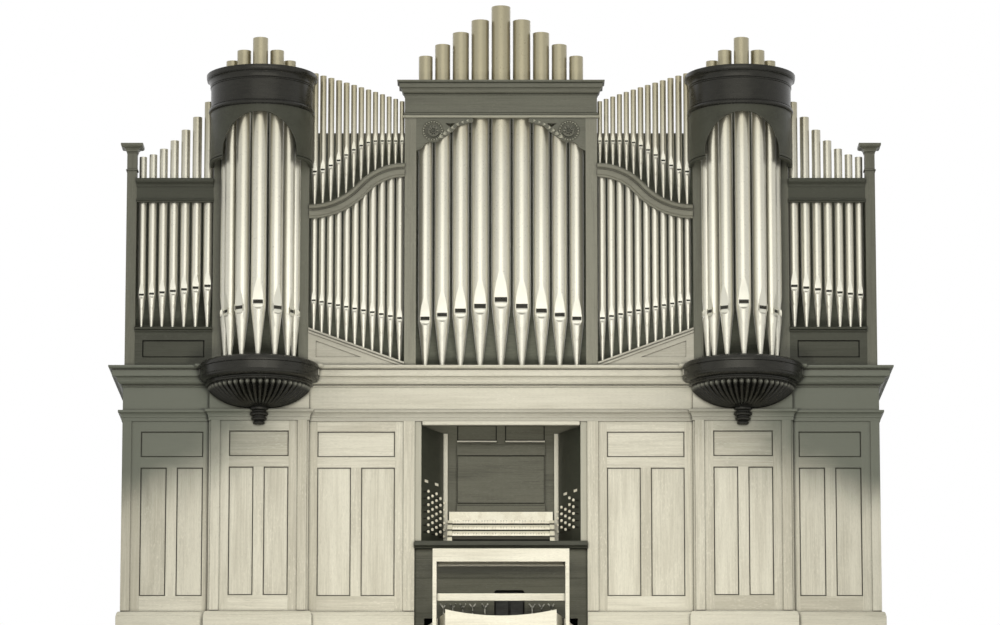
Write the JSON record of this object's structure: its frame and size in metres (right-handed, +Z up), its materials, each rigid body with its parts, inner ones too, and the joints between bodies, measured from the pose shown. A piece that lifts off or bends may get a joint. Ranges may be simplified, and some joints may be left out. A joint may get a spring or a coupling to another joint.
{
  "type": "pipe organ",
  "caption": "Pipe organ: panelled case with console recess, round pipe towers on gadrooned corbels, flats of metal pipes, pedalboard and bench.",
  "frame": {"origin": "on the floor, under the middle of the organ's overall plan of case, pedalboard and bench", "axes": "+X to the right as one faces the console, +Y from the console to the back of the case, +Z up"},
  "size_m": [6.584, 2.68, 5.486],
  "materials": {
    "oak": "waxed oak, greyed",
    "oak_dark": "darker oak board",
    "stained": "nearly black stained wood, polished",
    "pipe_metal": "pale spotted pipe metal, soft sheen",
    "ivory": "ivory coloured, polished",
    "ebony": "black hardwood, satin",
    "iron": "dark painted iron"
  },
  "bodies": {
    "root": {"plinths": "oak", "outer_bays": "oak", "tower_bays": "oak", "inner_bays": "oak", "side_walls": "oak", "back_wall": "oak_dark", "architrave": "oak", "frieze": "oak", "impost_cornice": "oak", "impost_deck": "oak_dark", "upper_sides": "oak", "case_roof": "oak_dark", "pipe_screens": "stained", "end_posts": "oak", "toe_panels": "oak", "transoms": "oak", "tower_posts": "oak", "tower_caps": "stained", "pipe_shades": "oak_dark", "corbels": "stained", "pendants": "stained", "slope_panels": "oak", "ogee_rails": "oak", "centre_posts": "oak", "centre_cornice": "oak", "scroll_brackets": "oak", "centre_pipes": "pipe_metal", "tower_pipes_left": "pipe_metal", "tower_pipes_right": "pipe_metal", "outer_pipes_left": "pipe_metal", "outer_pipes_right": "pipe_metal", "lower_pipes_left": "pipe_metal", "lower_pipes_right": "pipe_metal", "upper_pipes_left": "pipe_metal", "upper_pipes_right": "pipe_metal", "console_frame": "oak", "recess_boards": "oak_dark", "stop_jambs": "stained", "draw_knobs": "ivory", "stop_labels": "ivory", "key_desk": "stained", "key_frames": "ivory", "natural_keys": "ivory", "sharp_keys": "ebony", "nameboard": "ivory", "music_desk": "oak_dark", "kneeboard": "oak", "swell_pedals": "iron", "toe_levers": "iron", "pedal_frame": "oak", "pedal_naturals": "oak_dark", "pedal_sharps": "ebony", "bench": "oak"}
  },
  "joints": []
}
